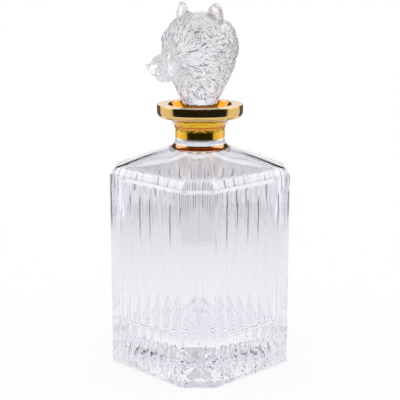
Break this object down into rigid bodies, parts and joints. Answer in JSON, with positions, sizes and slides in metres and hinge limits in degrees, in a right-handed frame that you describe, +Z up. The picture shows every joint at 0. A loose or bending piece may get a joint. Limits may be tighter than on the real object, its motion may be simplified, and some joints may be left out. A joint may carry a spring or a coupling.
{
  "type": "liquor decanter",
  "caption": "Square fluted crystal decanter with flat corners, a thick base, a gilt flared lip and a carved animal-head stopper that turns and lifts out.",
  "frame": {"origin": "middle of the foot, on the plane the decanter stands on", "axes": "+Z up along the neck, the stopper's head looks along -Y, the four fluted faces look along +X, -X, +Y and -Y"},
  "size_m": [0.0984, 0.0984, 0.2382],
  "materials": {
    "crystal": "polished",
    "stopper_crystal": "carved and polished",
    "gilt": "polished gilding",
    "seal": "satin",
    "cement": "clear"
  },
  "bodies": {
    "bottle": {"glass_bottle": "crystal", "gilt_collar": "gilt", "neck_ring": "gilt"},
    "seal": {"plug_seal": "seal"},
    "stopper": {"stopper_head": "stopper_crystal", "stopper_plug": "stopper_crystal", "head_bond": "cement"}
  },
  "joints": [
    {"name": "stopper_lift", "type": "slide", "parent": "bottle", "child": "seal", "axis": [0, 0, 1], "range_m": [0, 0.06]},
    {"name": "stopper_turn", "type": "hinge", "parent": "seal", "child": "stopper", "pos_m": [0, 0, 0.157], "axis": [0, 0, 1], "continuous": true}
  ]
}
